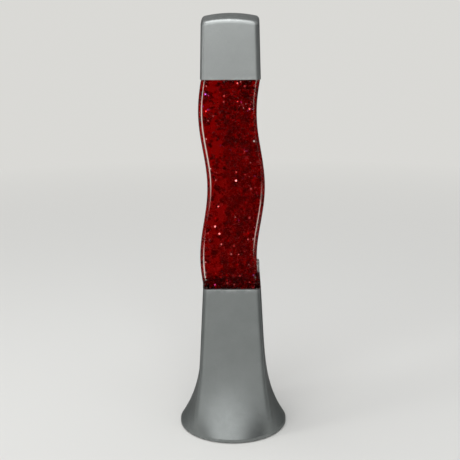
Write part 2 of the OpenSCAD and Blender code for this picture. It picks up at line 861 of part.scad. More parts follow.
module holder_terminals()
    color([0.82, 0.7, 0.42])
        for (side = [-1, 1])
            translate([side * terminal_x - terminal_w / 2, -terminal_w / 2, terminal_z])
                cube([terminal_w, terminal_w, terminal_h]);

// Reflector round the bulb, a spun sheet with a rolled lip

reflector_top = bulb_top + reflector_over;
reflector_hole = holder_d / 2 + ring_fit;
ring_r = holder_d / 2 + ring_fit + ring_wall;
reflector_floor_r = ring_r + reflector_t + ring_fit;
function reflector_curve(grow) = [
    for (i = [0 : turn_steps])
        let (a = 90 * i / turn_steps)
            [reflector_floor_r - grow + (reflector_r - reflector_floor_r) * sin(a),
             flange_top + (grow > 0 ? reflector_t : 0) + reflector_bowl * (1 - cos(a))]
];

module reflector()
    color([0.82, 0.83, 0.84])
        rotate_extrude()
            polygon(concat(
                [[reflector_hole, flange_top]],
                reflector_curve(0),
                [[reflector_r, reflector_top - reflector_t],
                 [reflector_r + reflector_lip, reflector_top - reflector_t],
                 [reflector_r + reflector_lip, reflector_top],
                 [reflector_r - reflector_t, reflector_top]],
                backwards(reflector_curve(reflector_t)),
                [[reflector_hole, flange_top + reflector_t]]));

module reflector_ring()
    color([0.88, 0.86, 0.8])
        tube(ring_r, holder_d / 2 + ring_fit, flange_top + reflector_t, ring_h);

// Terminal block and leads

module terminal_block()
    color([0.88, 0.87, 0.82])
        difference() {
            translate([0, block_y, block_z]) {
                translate([-pole_pitch / 2, -block_l / 2, 0])
                    cube([pole_pitch, block_l, web_h]);
                for (side = [-1, 1])
                    translate([side * pole_pitch / 2 - pole_w / 2, -block_l / 2, 0])
                        cube([pole_w, block_l, pole_h]);
            }
            for (side = [-1, 1])
                translate([side * pole_pitch / 2, block_y, lead_z]) {
                    rotate([90, 0, 0])
                        cylinder(d = barrel_d + 2 * clamp_fit, h = block_l + 2 * over, center = true);
                    for (y = [-clamp_y, clamp_y])
                        translate([0, y, 0])
                            cylinder(d = clamp_d + 4 * clamp_fit, h = pole_h);
                }
            translate([0, block_y, 0])
                rod(bolt_d / 2 + bolt_fit, block_z - over, web_h + 2 * over);
        }

module terminal_barrels()
    color([0.8, 0.68, 0.38])
        for (side = [-1, 1])
            translate([side * pole_pitch / 2, block_y, lead_z])
                difference() {
                    rotate([90, 0, 0])
                        cylinder(d = barrel_d, h = block_l - over, center = true);
                    rotate([90, 0, 0])
                        cylinder(d = barrel_bore, h = block_l + over, center = true);
                    for (y = [-clamp_y, clamp_y])
                        translate([0, y, 0])
                            cylinder(d = clamp_d + 2 * clamp_fit, h = barrel_d);
                }

module terminal_screws()
    color([0.76, 0.76, 0.72])
        for (side = [-1, 1], y = [-clamp_y, clamp_y])
            translate([side * pole_pitch / 2, block_y + y, 0])
                rod(clamp_d / 2, lead_z + lead_d / 2 + clamp_gap, clamp_h);

module block_screw()
    color([0.75, 0.75, 0.72])
        translate([0, block_y, 0])
            screw(bolt_d, block_bolt_l, bolt_head_d, bolt_head_h, block_z + web_h, false);

// Route of a lead: out of its pole, in one sweep up into the threaded tube, to its terminal
lead_steps = 10;
function mix(a, b, t) = a + (b - a) * t;
function sweep_point(p, t) =
    let (q = [for (i = [0 : 2]) mix(p[i], p[i + 1], t)],
         r = [for (i = [0 : 1]) mix(q[i], q[i + 1], t)])
        mix(r[0], r[1], t);
function lead_route(side) =
    let (pole = side * pole_pitch / 2,
         front = block_y - block_l / 2,
         bend = [[pole, front - over, lead_z], [pole, front - lead_reach, lead_z],
                 [side * lead_x, 0, lead_z], [side * lead_x, 0, nipple_z - over]])
        concat(
            [[pole, front + lead_in, lead_z]],
            [for (i = [0 : lead_steps]) sweep_point(bend, i / lead_steps)],
            [[side * lead_x, 0, holder_z], [side * lead_x, 0, terminal_z]]);

function unit(v) = v / norm(v);
function heading(route, i) =
    unit(route[min(i + 1, len(route) - 1)] - route[max(i - 1, 0)]);
lead_sides = 8;
module lead(side) {
    route = lead_route(side);
    skin([for (i = [0 : len(route) - 1])
        let (t = heading(route, i),
             u = unit(cross([1, 0, 0], t)),
             v = cross(t, u))
            [for (k = [0 : lead_sides - 1])
                let (a = 360 * k / lead_sides)
                    route[i] + lead_d / 2 * (u * cos(a) + v * sin(a))]]);
}

module lead_live()
    color([0.45, 0.25, 0.12])
        lead(1);

module lead_neutral()
    color([0.15, 0.3, 0.6])
        lead(-1);

// Bulb with a bowl-shaped glass

function bulb_curve(t) = concat(
    [[neck_r - t, tip_z + bulb_cap_z / 2]],
    [for (i = [0 : turn_steps])
        let (a = 90 * i / turn_steps)
            [neck_r - t + (bulb_r - neck_r) * sin(a),
             tip_z + mix(bulb_cap_z + over, bulb_wide_z, 1 - cos(a) * (1 - i / turn_steps / 2))]],
    [for (i = [1 : turn_steps])
        let (a = 90 * i / turn_steps)
            [(bulb_r - t) * cos(a), tip_z + bulb_wide_z + (bulb_l - bulb_wide_z - t) * sin(a)]]);

module bulb_glass()
    color([0.92, 0.92, 0.9, 0.7])
        rotate_extrude()
            polygon(concat(bulb_curve(0), backwards(bulb_curve(glass_t))));

module bulb_screw_cap()
    color([0.78, 0.78, 0.76])
        tube(bulb_cap_d / 2, bulb_cap_d / 2 - bulb_cap_wall,
             tip_z + tip_h + insulator_h, bulb_cap_z - tip_h - insulator_h);

module bulb_insulator()
    color([0.05, 0.05, 0.06])
        translate([0, 0, tip_z + tip_h])
            cylinder(r1 = tip_d / 2 + tip_slope, r2 = bulb_cap_d / 2, h = insulator_h);

module bulb_contact()
    color([0.75, 0.74, 0.7])
        translate([0, 0, tip_z])
            cylinder(r1 = tip_d / 2 - tip_slope, r2 = tip_d / 2, h = tip_h);

stem_top = bulb_cap_z + over + stem_d;
module filament_stem()
    color([0.85, 0.88, 0.88, 0.6])
        translate([0, 0, tip_z]) {
            rod(stem_d / 2, bulb_cap_z / 2, stem_top - bulb_cap_z / 2);
            translate([0, 0, bulb_cap_z / 2])
                cylinder(r1 = neck_r - glass_t - snug, r2 = stem_d / 2, h = stem_d / 2);
        }

module filament()
    color([0.5, 0.5, 0.52])
        translate([0, 0, tip_z + stem_top]) {
            for (x = [-post_x, post_x])
                translate([x, 0, 0])
                    cylinder(d = filament_t, h = post_h + filament_t / 2);
            translate([0, 0, post_h])
                rotate([90, 0, 0])
                    rotate_extrude(angle = 180)
                        translate([post_x, 0])
                            circle(d = filament_t);
        }

top_cap();
vessel();
liquid();
glitter();
filler_cap();
filler_seal();
base_shell();
seat_gasket();
bottom_plate();
plate_screws();
rubber_feet();
cord_bushing();
holder_bracket();
bracket_screws();
threaded_nipple();
nipple_nut();
lamp_holder();
holder_sleeve();
holder_contact();
holder_terminals();
reflector();
reflector_ring();
terminal_block();
terminal_barrels();
terminal_screws();
block_screw();
lead_live();
lead_neutral();
bulb_glass();
bulb_screw_cap();
bulb_insulator();
bulb_contact();
filament_stem();
filament();
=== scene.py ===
"""Looks of a glitter lamp: a silver flared base and domed cap, and between them a wavy clear
vessel of dark red liquid full of glitter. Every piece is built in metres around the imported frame."""

import json
import math
import random

import bpy
from bpy.props import FloatProperty, FloatVectorProperty, IntProperty, PointerProperty
from mathutils import Matrix, Vector


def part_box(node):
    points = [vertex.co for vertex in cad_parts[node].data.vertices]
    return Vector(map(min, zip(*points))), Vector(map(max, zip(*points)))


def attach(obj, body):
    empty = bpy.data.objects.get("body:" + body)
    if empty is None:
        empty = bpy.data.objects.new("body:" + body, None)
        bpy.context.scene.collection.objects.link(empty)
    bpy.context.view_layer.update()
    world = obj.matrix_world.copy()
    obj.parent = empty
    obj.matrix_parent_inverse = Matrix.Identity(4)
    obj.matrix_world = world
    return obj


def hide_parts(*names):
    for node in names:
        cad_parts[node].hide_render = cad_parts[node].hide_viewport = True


bl_info = {
    "name": "Glitter Lamp",
    "version": (1, 0, 0),
    "blender": (4, 5, 0),
    "location": "3D View > Sidebar > Glitter Lamp",
    "description": "Builds the looks of a glitter lamp around its packed frame",
    "category": "Object",
}

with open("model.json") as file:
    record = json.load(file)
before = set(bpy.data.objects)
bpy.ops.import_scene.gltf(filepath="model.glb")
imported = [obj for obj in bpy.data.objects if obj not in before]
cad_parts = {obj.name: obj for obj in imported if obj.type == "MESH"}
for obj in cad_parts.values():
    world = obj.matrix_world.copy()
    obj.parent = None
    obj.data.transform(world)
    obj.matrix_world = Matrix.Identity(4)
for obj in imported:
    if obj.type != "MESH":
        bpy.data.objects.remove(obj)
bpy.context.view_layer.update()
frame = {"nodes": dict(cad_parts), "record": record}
BASE_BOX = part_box("base_shell")
CAP_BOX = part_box("top_cap")
VESSEL_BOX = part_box("vessel")
LIQUID_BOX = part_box("liquid")
SEAT_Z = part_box("seat_gasket")[1].z

MM = 0.001
QUARTER = math.pi / 2

# Fineness of the meshes
CORNER_STEPS = 14
SIDE_STEPS = 11
ROUND_STEPS = 8
RAY_STEPS = 22
RAY_CROWDING = 1.6
BODY_RINGS = 110
BASE_RINGS = 72
BASE_CROWDING = 1.4
TRIM_RINGS = 40
CAP_RINGS = 4
DOME_RINGS = 14
COLLAR_RINGS = 4
COLLAR_BACK_RINGS = 14
ROD_SIDES = 48
FLAKE_SIDES = 6
FLOOR_SIDES = 64
SHARP_ANGLE = math.radians(32)
LEAST_FLAT = 0.2 * MM
LEAST_CORNER = 1.0 * MM
LOOP_GAP = 1.5 * MM
LOOP_SHARE = 0.3

# Small sizes of base and cap
SHELL_EDGE = 0.35 * MM
RIM_EDGE = 0.12
PILLAR_RADIUS = 4 * MM
PILLAR_HEIGHT = 22 * MM
PILLAR_INSET = 7.35 * MM
PILLAR_ANGLE = math.radians(28)
TRIM_OVER = 20 * MM
HOLE_RADIUS = 1.5 * MM
HOLE_DEPTH = 12 * MM
NOTCH_REACH = 0.75
CUT_OVER = 1.0 * MM
CAP_SEAT = 0.3 * MM

# Small sizes of vessel and liquid
VESSEL_EDGE = 0.5 * MM
EDGE_MIDDLE = 0.3 * VESSEL_EDGE
PLUG_CORNER = 2.1 * MM
HEAD_CORNER = 2.7 * MM
COLLAR_CORNER = 5 * MM
COLLAR_SINK = 0.7 * MM
WET_BELOW = 0.1 * MM
WET_BESIDE = 0.05 * MM
LIQUID_PLAY = 0.1 * MM
LIQUID_INDEX = 1.01
SURFACE_INDEX = 1.5
SURFACE_DEPTH = 0.01 * MM

# Flakes: the sides they may face, their room in the vessel, and the tones where their foil changes
FRONT, RIGHT, BACK = 0, 1, 2
NEAR_SIDES = (FRONT, FRONT, FRONT, RIGHT, BACK)
NEAR_DEPTH = 1.5 * MM
FLAKE_GAP = 0.4 * MM
FLAKE_SINK = 1.5 * MM
PLUG_INSET = 1.0 * MM
# The cloud's span keeps its dark flakes on the right: painted shade over that side of the liquid.
SHADE_CLOUD_SPAN = (-0.32, 0.95)
SHADE_CLOUD_BLUR = 0.06
SETTLED_CROWDING = 1.7
# Tones up to the first give the dark to rose foil: painted shade and painted red light on the silver
# foil.
SHADED_FOIL_TONE = 0.69
FOIL_TONE = 0.70
VIOLET_TONE = 0.94
TONE_STEP = 0.02

# Finishes: the range in which a noise mostly lies, and how far the paint is rubbed near an edge
NOISE_RANGE = (0.3, 0.7)
WEAR_REACH = 4 * MM
CAP_WEAR_DROP = 5 * MM
CLEAR = (1, 1, 1, 1)

# Tone, roughness and grain of moulded finishes, and where it differs the spread of the roughness
MOULDED = {
    "black_plastic": ((0.018, 0.018, 0.02), 0.38, 1400),
    "black_rubber": ((0.014, 0.014, 0.014), 0.62, 900),
    "seal_white": ((0.72, 0.71, 0.66), 0.5, 700),
    "cream_phenolic": ((0.74, 0.70, 0.60), 0.16, 500),
    "black_glaze": ((0.012, 0.012, 0.015), 0.08, 300, 0.12),
    "brown_lead": ((0.20, 0.075, 0.03), 0.3, 800),
    "blue_lead": ((0.03, 0.12, 0.42), 0.3, 800),
}
# Tone and roughness of metal finishes, and where it differs the scale of their lines in X, Y and Z
PLATED = {
    "zinc_steel": ((0.58, 0.58, 0.56), 0.26, (1.0, 9.0, 1.0)),
    "brass": ((0.70, 0.52, 0.24), 0.22),
    "spun_aluminium": ((0.80, 0.81, 0.82), 0.16, (1.0, 1.0, 22.0)),
    "nickel": ((0.70, 0.68, 0.64), 0.2),
}

# Stage: where the floor fades into the backdrop, and the ways in which mirrors show the backdrop
FLOOR_RADIUS = 60.0
FLOOR_FADE = (0.35, 1.6)
BEHIND = (0.78, 1.0)
ABOVE = (0.2, 1.0)
ABOVE_SHARE = 0.45
FILL_TINT = (0.95, 0.97, 1.0, 1)
SENSOR_WIDTH = 36.0
# Upright panels of the dark cards, which paint shade into the lamp's reflections: the two ends of each
# in X and Y, then its lowest and highest Z
SHADE_CARDS = {
    "shade_cards_left": (((-0.2, -0.10), (-0.2, -0.04), (0, 0.6)),
                        ((-0.2, -0.20), (-0.2, -0.10), (0, 0.12)),
                        ((-0.6, 0.09), (-0.075, 0.09), (0, 0.6))),
    "shade_cards_right": (((0.2, -0.30), (0.2, -0.04), (0, 0.12)),
                         ((0.2, -0.30), (0.2, -0.04), (0.27, 0.45)),
                         ((0.075, 0.09), (0.75, 0.09), (0, 0.6))),
}


def length(name, description, default):
    """A size in metres that a user may change."""
    return FloatProperty(name=name, description=description, default=default, unit="LENGTH",
                         precision=5, min=0.0)


def degrees(name, description, default):
    """An angle that a user may change."""
    return FloatProperty(name=name, description=description, default=math.radians(default),
                         subtype="ANGLE")


def amount(name, description, default):
    """A plain number that a user may change."""
    return FloatProperty(name=name, description=description, default=default)


def whole(name, description, default):
    """A whole number that a user may change."""
    return IntProperty(name=name, description=description, default=default, min=0)


def colour(name, description, default):
    """A plain colour that a user may change."""
    return FloatVectorProperty(name=name, description=description, default=default, subtype="COLOR",
                               size=3, min=0.0, max=1.0)


class GlitterLampVessel(bpy.types.PropertyGroup):
    width: length("Width", "Width of the wavy body across its flat sides", 0.054)
    shoulder: length("Shoulder", "Height of the body's upper edge", CAP_BOX[0].z - CAP_SEAT)
    corner: length("Corner", "Radius of the upright corners", 0.0039)
    wall: length("Wall", "Thickness of the clear wall", 0.0036)
    swing: length("Swing", "Sideways swing of the wave to each side", 0.0038)
    wave: length("Wave", "Height of one full wave", 0.138)
    collar_height: length("Collar height", "Height of the straight foot collar", 0.0155)
    collar_half: length("Collar half width", "Half the collar's width at its lower edge", 0.028)
    collar_draft: length("Collar draft", "How far the collar draws in towards its upper edge", 0.0013)
    floor: length("Floor", "Thickness of the clear floor", 0.0025)
    cavity_round: length("Cavity rounding", "Radius between the cavity's floor and sides", 0.0045)
    cavity_corner: length("Cavity corner", "Radius of the cavity's upright corners", 0.004)
    plug_half: length("Plug half width", "Half the width of the plug inside the base", 0.0249)
    plug_wall: length("Plug wall", "Wall of the plug", 0.0022)
    head_half: length("Head half width", "Half the width of the part under the cap", 0.0251)
    head_height: length("Head height", "Height of the part under the cap", 0.014)
    ceiling: length("Ceiling", "Thickness of the clear ceiling", 0.004)
    neck_radius: length("Neck radius", "Outer radius of the filler neck", 0.013)
    neck_bore: length("Neck bore", "Inner radius of the filler neck", 0.010)


class GlitterLampShells(bpy.types.PropertyGroup):
    cap_half: length("Cap half width", "Half the cap's width at its lower edge", 0.0277)
    cap_lean: length("Cap lean", "How far the cap's sides lean in over its height", 0.0012)
    cap_wall: length("Cap wall", "Wall of the cap", 0.002)
    cap_corner: length("Cap corner", "Radius of the cap's upright corners", 0.005)
    dome_across: length("Dome radius across", "Radius of the dome from side to side", 0.112)
    dome_along: length("Dome radius along", "Radius of the dome from front to back", 0.060)
    dome_round: length("Dome rounding", "Radius that rounds the dome into the sides", 0.003)
    foot_radius: length("Foot radius", "Radius of the round foot", 0.0534)
    rim_half: length("Rim half width", "Half the width of the base at its rim", 0.0278)
    rim_corner: length("Rim corner", "Radius of the corners at the rim", 0.005)
    base_wall: length("Base wall", "Wall of the base", 0.0024)
    lean: degrees("Lean", "Lean of the base's four sides", 3.03)
    flare_start: length("Flare start", "Height at which the flare starts", 0.100)
    flare_power: amount("Flare power", "Sharpness of the flare", 3.4)
    lip_height: length("Lip height", "Height of the upright lip round the foot", 0.0034)
    notch_width: length("Notch width", "Width of the notch for the cord's bushing", 0.0144)
    notch_top: length("Notch top", "Height of the notch above the table", 0.0182)
    notch_round: length("Notch rounding", "Radius of the notch's upper corners", 0.003)


class GlitterLampGlitter(bpy.types.PropertyGroup):
    # The cloud massed at the right is painted shade over that side of the liquid.
    cloud: whole("Cloud", "Number of flakes in the cloud at the right", 4600)
    clumps: whole("Clumps", "Number of small clumps", 290)
    clump_flakes: whole("Flakes in a clump", "Number of flakes in a clump", 7)
    clump_size: length("Clump size", "Spread of a clump", 0.0013)
    loose: whole("Loose", "Number of single flakes", 380)
    near: whole("On the wall", "Number of flakes that lie near the wall", 320)
    settled: whole("Settled", "Number of flakes on the floor", 1400)
    smallest: length("Smallest", "Width of the smallest flakes", 0.0016)
    largest: length("Largest", "Width of the largest flakes", 0.0030)
    thickness: length("Thickness", "Thickness of a flake", 0.00006)
    settled_depth: length("Settled depth", "Depth of the layer of settled flakes", 0.011)
    seed: whole("Seed", "Seed of the scatter", 11)


class GlitterLampFinish(bpy.types.PropertyGroup):
    silver_cap: colour("Silver of the cap", "Satin metallic paint of the cap", (0.285, 0.301, 0.297))
    # The base's silver is a darker copy of the cap's paint: painted shade.
    silver_base_shaded: colour("Silver of the base", "Satin metallic paint of the base", (0.20, 0.215, 0.211))
    liquid: colour("Liquid", "Colour that the liquid lets through", (0.969, 0.0, 0.02))
    liquid_density: amount("Liquid density", "Absorption per metre", 900.0)
    foil: colour("Foil", "Bright foil of the flakes", (0.92, 0.70, 0.72))
    # The rose and dark foils are the silver foil with painted red light and painted shade.
    foil_painted_red_glow: colour("Rose foil", "Rose-coloured flakes", (0.50, 0.012, 0.02))
    foil_painted_shade: colour("Dark foil", "Dark red flakes", (0.08, 0.0015, 0.004))
    foil_violet: colour("Violet foil", "Violet flakes", (0.45, 0.12, 0.75))
    backdrop: colour("Backdrop", "Colour of floor and background", (0.70, 0.695, 0.67))


class GlitterLampStage(bpy.types.PropertyGroup):
    distance: length("Camera distance", "Level distance from the lamp to the camera", 0.860)
    height: length("Camera height", "Height of the camera above the table", 0.414)
    turn: degrees("Turn", "How far the camera stands round to the right", 1.2)
    tilt: degrees("Tilt", "Downward tilt of the camera", 13.95)
    roll: degrees("Roll", "Roll of the camera", -0.4)
    shift: amount("Shift", "Sideways shift of the picture", -0.0043)
    lens: amount("Lens", "Focal length in millimetres", 71.3)
    key: amount("Key", "Strength of the key light", 1.55)
    side: amount("Side", "Power of the side light in watts", 2.3)
    top: amount("Top", "Power of the top light in watts", 9.0)
    front: amount("Front", "Brightness of the room that mirrors show", 0.12)
    fill: amount("Fill", "Strength of the world's light", 0.45)


def sizes(group):
    """One of the groups of sizes and colours above, as the scene holds it."""
    return getattr(bpy.context.scene, "glitter_lamp_" + group)


# Mesh


def steps(start, end, count):
    """Even steps from start to end, both of them included."""
    return [start + (end - start) * i / count for i in range(count + 1)]


def square_ring(half, corner, z, shift=0.0, along=0):
    """One level ring of a square with rounded corners. Loops stand beside each corner's ends, and
    more points may stand along each side."""
    corner = min(max(corner, LEAST_CORNER), half - LEAST_FLAT)
    flat = half - corner
    beside = flat - min(LOOP_GAP, LOOP_SHARE * flat)
    points = []
    for k in range(4):
        turn = Matrix.Rotation(k * math.pi / 2, 2)
        local = [(half, y) for y in steps(-beside, beside, along + 1)[1:]]
        local += [(flat + corner * math.cos(a), flat + corner * math.sin(a))
                  for a in steps(0, QUARTER, CORNER_STEPS)]
        local.append((beside, half))
        for p in local:
            q = turn @ Vector(p)
            points.append(Vector((q.x + shift, q.y, z)))
    return points


def round_ring(radius, z):
    """A nearly round ring with as many points as a square one."""
    return square_ring(radius, radius, z)


def lofted(rings, loop=False):
    """Vertices and faces of a skin over rings, with fans at its two ends or joined into a loop."""
    n = len(rings[0])
    points = [p for one in rings for p in one]
    faces = []
    last = len(rings) if loop else len(rings) - 1
    for j in range(last):
        low = j * n
        high = (j + 1) % len(rings) * n
        for i in range(n):
            k = (i + 1) % n
            faces.append((low + i, low + k, high + k, high + i))
    if not loop:
        for ring, start, upper in ((rings[0], 0, False), (rings[-1], (len(rings) - 1) * n, True)):
            points.append(sum(ring, Vector()) / n)
            middle = len(points) - 1
            for i in range(n):
                a = start + i
                b = start + (i + 1) % n
                faces.append((a, b, middle) if upper else (b, a, middle))
    return points, faces


def new_piece(name, points, faces):
    mesh = bpy.data.meshes.new(name)
    mesh.from_pydata([tuple(p) for p in points], [], faces)
    mesh.validate()
    piece = bpy.data.objects.new(name, mesh)
    bpy.context.scene.collection.objects.link(piece)
    return piece


def combine(piece, tool, way):
    """Joins a tool solid to a piece, cuts it out of it or keeps what they share. The tool is then
    dropped."""
    step = piece.modifiers.new("combine", "BOOLEAN")
    step.operation = way
    step.solver = "EXACT"
    step.object = tool
    graph = bpy.context.evaluated_depsgraph_get()
    made = bpy.data.meshes.new_from_object(piece.evaluated_get(graph), depsgraph=graph)
    piece.modifiers.clear()
    old = piece.data
    name = old.name
    piece.data = made
    bpy.data.meshes.remove(old)
    made.name = name
    used = tool.data
    bpy.data.objects.remove(tool)
    bpy.data.meshes.remove(used)
    if not made.polygons:
        raise RuntimeError(f"{piece.name} came out empty")
    return piece


def rod(name, radius, start, end):
    """A closed cylinder between two points."""
    axis = (end - start).normalized()
    side = axis.orthogonal().normalized()
    other = axis.cross(side)
    ring = [radius * (math.cos(a) * side + math.sin(a) * other)
            for a in steps(0, math.tau, ROD_SIDES)[:-1]]
    return new_piece(name, *lofted([[start + p for p in ring], [end + p for p in ring]]))


def shade(piece):
    """Smooth shading with sharp edges where faces meet at a steep angle."""
    mesh = piece.data
    mesh.polygons.foreach_set("use_smooth", [True] * len(mesh.polygons))
    mesh.set_sharp_from_angle(angle=SHARP_ANGLE)


def dress(piece, *materials):
    piece.data.materials.clear()
    for material in materials:
        piece.data.materials.append(material)


# Finishes


class Finish:
    """Node tree of one finish, with short ways to add its nodes."""

    def __init__(self, name, world=None):
        self.material = world or bpy.data.materials.new(name)
        self.material.use_nodes = True
        self.tree = self.material.node_tree
        self.tree.nodes.clear()
        self.output = self.add("OutputWorld" if world else "OutputMaterial")
        self.place = None if world else self.add("TexCoord").outputs["Object"]

    def show(self, shader):
        self.tree.links.new(shader.outputs[0], self.output.inputs["Surface"])

    def add(self, kind, sockets=None, **settings):
        node = self.tree.nodes.new("ShaderNode" + kind)
        for key, value in settings.items():
            setattr(node, key, value)
        for key, value in (sockets or {}).items():
            self.set(node.inputs[key], value)
        return node

    def set(self, socket, value):
        if isinstance(value, bpy.types.NodeSocket):
            self.tree.links.new(value, socket)
        else:
            socket.default_value = value

    def noise(self, scale, detail=2.0, roughness=0.5, place=None):
        return self.add("TexNoise", {"Vector": place or self.place, "Scale": scale, "Detail": detail,
                                     "Roughness": roughness}).outputs["Fac"]

    def span(self, value, source, target=(0.0, 1.0)):
        """Maps a value from a source range to a target range, held at both ends."""
        return self.add("MapRange", {"Value": value, "From Min": source[0], "From Max": source[1],
                                     "To Min": target[0], "To Max": target[1]}).outputs["Result"]

    def math(self, operation, a, b):
        return self.add("Math", {0: a, 1: b}, operation=operation).outputs[0]

    def blend(self, share, a, b):
        node = self.add("Mix", data_type="RGBA")
        for socket, value in ((node.inputs[0], share), (node.inputs[6], a), (node.inputs[7], b)):
            ready = isinstance(value, (float, bpy.types.NodeSocket))
            self.set(socket, value if ready else (*value, 1.0))
        return node.outputs[2]

    def bump(self, height, distance, strength, onto=None):
        sockets = {"Height": height, "Distance": distance, "Strength": strength}
        if onto:
            sockets["Normal"] = onto
        return self.add("Bump", sockets).outputs["Normal"]

    def surface(self, **sockets):
        """The Principled shader, linked to the output."""
        named = {key.replace("_", " "): value for key, value in sockets.items()}
        shader = self.add("BsdfPrincipled", named)
        self.show(shader)
        return shader

    def straight_ray(self):
        """1 for rays that show a surface straight or through glass."""
        path = self.add("LightPath").outputs
        return self.math("MAXIMUM", path["Is Camera Ray"], path["Is Transmission Ray"])

    def background_ray(self):
        """1 for rays that show a surface straight, in a mirror or through glass."""
        mirrored = self.add("LightPath").outputs["Is Glossy Ray"]
        return self.math("MAXIMUM", self.straight_ray(), mirrored)

    def lets_lamps_through(self, shader):
        """Lamps shine through the shader's surface, which still bends and mirrors what is seen."""
        path = self.add("LightPath").outputs["Is Shadow Ray"]
        clear = self.add("BsdfTransparent", {"Color": CLEAR})
        self.show(self.add("MixShader", {0: path, 1: shader.outputs[0], 2: clear.outputs[0]}))


def paler(tone, share):
    return tuple(c + (1 - c) * share for c in tone)


def darker(tone, share):
    return tuple(c * (1 - share) for c in tone)


def silver_paint(name, tone, wear_low, wear_high):
    """Satin metallic paint: fine flake, faint orange peel, and rubbing near two heights."""
    f = Finish(name)
    flake = f.noise(5200, detail=1.0)
    cloud = f.noise(55, detail=3.0)
    scuff = f.noise(230, detail=5.0, roughness=0.7)
    height = f.add("SeparateXYZ", {"Vector": f.place}).outputs["Z"]
    rub = f.math("ADD", f.span(height, (wear_low, wear_low + WEAR_REACH), (1.0, 0.0)),
                 f.span(height, (wear_high - WEAR_REACH, wear_high)))
    rub = f.math("MULTIPLY", rub, f.span(scuff, (0.46, 0.62)))
    base = f.blend(f.span(flake, NOISE_RANGE), darker(tone, 0.10), paler(tone, 0.07))
    base = f.blend(f.span(cloud, (0.35, 0.7), (0.0, 0.35)), base, darker(tone, 0.14))
    base = f.blend(f.math("MULTIPLY", rub, 0.4), base, paler(tone, 0.3))
    rough = f.math("ADD", f.span(scuff, (0.35, 0.7), (0.36, 0.46)), f.math("MULTIPLY", rub, -0.08))
    peel = f.bump(f.noise(420), distance=0.04 * MM, strength=0.35)
    normal = f.bump(flake, distance=0.02 * MM, strength=0.25, onto=peel)
    f.surface(Base_Color=base, Metallic=0.82, Roughness=rough, Normal=normal,
              Specular_Tint=(0.25, 0.25, 0.25, 1))
    return f.material


def clear_plastic():
    """Clear, faintly brown plastic with a slight ripple."""
    f = Finish("clear_plastic")
    ripple = f.bump(f.noise(60, detail=1.0), distance=0.05 * MM, strength=0.12)
    shader = f.surface(Base_Color=(0.88, 0.82, 0.76, 1), Transmission_Weight=1.0, IOR=1.47,
                       Specular_Tint=(0.08, 0.08, 0.08, 1), Roughness=0.0, Normal=ripple)
    f.lets_lamps_through(shader)
    return f.material


def wetted_wall():
    """Inner faces of the vessel that the liquid touches. The liquid's own skin bends light there."""
    f = Finish("wetted_wall")
    f.show(f.add("BsdfTransparent", {"Color": CLEAR}))
    return f.material


def dyed_liquid(name, index):
    """Clear skin of a given index of refraction round a liquid that absorbs all but red light."""
    tone = sizes("finish")
    f = Finish(name)
    shader = f.surface(Base_Color=CLEAR, Transmission_Weight=1.0, IOR=index, Roughness=0.0)
    f.lets_lamps_through(shader)
    dye = f.add("VolumeAbsorption", {"Color": (*tone.liquid, 1), "Density": tone.liquid_density})
    f.tree.links.new(dye.outputs["Volume"], f.output.inputs["Volume"])
    return f.material


def glitter_foil():
    """Foil of the flakes by each flake's own tone: the dark to rose range is the silver foil with
    painted shade and painted red light, and bright or violet are the foil's own colours.
    """
    tone = sizes("finish")
    f = Finish("glitter_foil")
    kind = f.add("Attribute", attribute_name="flake_tone").outputs["Fac"]
    base = f.blend(f.span(kind, (0.0, SHADED_FOIL_TONE)), tone.foil_painted_shade, tone.foil_painted_red_glow)
    base = f.blend(f.span(kind, (FOIL_TONE, FOIL_TONE + TONE_STEP)), base, tone.foil)
    base = f.blend(f.span(kind, (VIOLET_TONE - TONE_STEP, VIOLET_TONE)), base, tone.foil_violet)
    f.surface(Base_Color=base, Metallic=f.span(kind, (SHADED_FOIL_TONE, SHADED_FOIL_TONE + TONE_STEP), (0.4, 1.0)),
              Roughness=f.span(kind, (0.0, 1.0), (0.3, 0.12)))
    return f.material


def moulded(name, tone, gloss, grain, spread=0.25):
    """Moulded plastic or rubber: a fine grain and uneven gloss."""
    f = Finish(name)
    skin = f.noise(grain, detail=3.0)
    patch = f.noise(90, detail=3.0)
    base = f.blend(f.span(patch, (0.35, 0.7)), tone, paler(tone, 0.06))
    f.surface(Base_Color=base, Roughness=f.span(patch, NOISE_RANGE, (gloss, gloss + spread)),
              Normal=f.bump(skin, distance=0.05 * MM, strength=0.4))
    return f.material


def plated(name, tone, gloss, stretch=(1.0, 1.0, 14.0)):
    """Drawn, spun or plated metal: fine lines along one way and a few dull patches."""
    f = Finish(name)
    drawn = f.add("Mapping", {"Vector": f.place, "Scale": stretch}).outputs["Vector"]
    lines = f.noise(420, detail=3.0, roughness=0.6, place=drawn)
    patch = f.noise(130, detail=4.0)
    base = f.blend(f.span(patch, (0.4, 0.75), (0.0, 0.5)), tone, darker(tone, 0.3))
    f.surface(Base_Color=base, Metallic=1.0,
              Roughness=f.span(lines, NOISE_RANGE, (gloss, gloss + 0.18)),
              Normal=f.bump(lines, distance=0.02 * MM, strength=0.3))
    return f.material


def pearl_glass():
    """Frosted glass of the bulb."""
    f = Finish("pearl_glass")
    frost = f.noise(600)
    shader = f.surface(Base_Color=(0.96, 0.955, 0.94, 1), Transmission_Weight=0.72, IOR=1.45,
                       Roughness=f.span(frost, NOISE_RANGE, (0.28, 0.42)))
    f.lets_lamps_through(shader)
    return f.material


# Shapes that the pieces share


def sway(z):
    """Sideways place of the wavy body's middle at height z, nought at both of its ends."""
    v = sizes("vessel")
    tall = v.shoulder - SEAT_Z
    if not SEAT_Z <= z <= v.shoulder:
        return 0.0
    return v.swing * (math.cos(2 * math.pi * (z - SEAT_Z - tall / 2) / v.wave)
                      - math.cos(math.pi * tall / v.wave))


def body_levels():
    """Heights of the wavy body's rings."""
    return steps(SEAT_Z, sizes("vessel").shoulder, BODY_RINGS)


def cavity_floor():
    """Height of the clear floor's upper face."""
    return VESSEL_BOX[0].z + sizes("vessel").floor


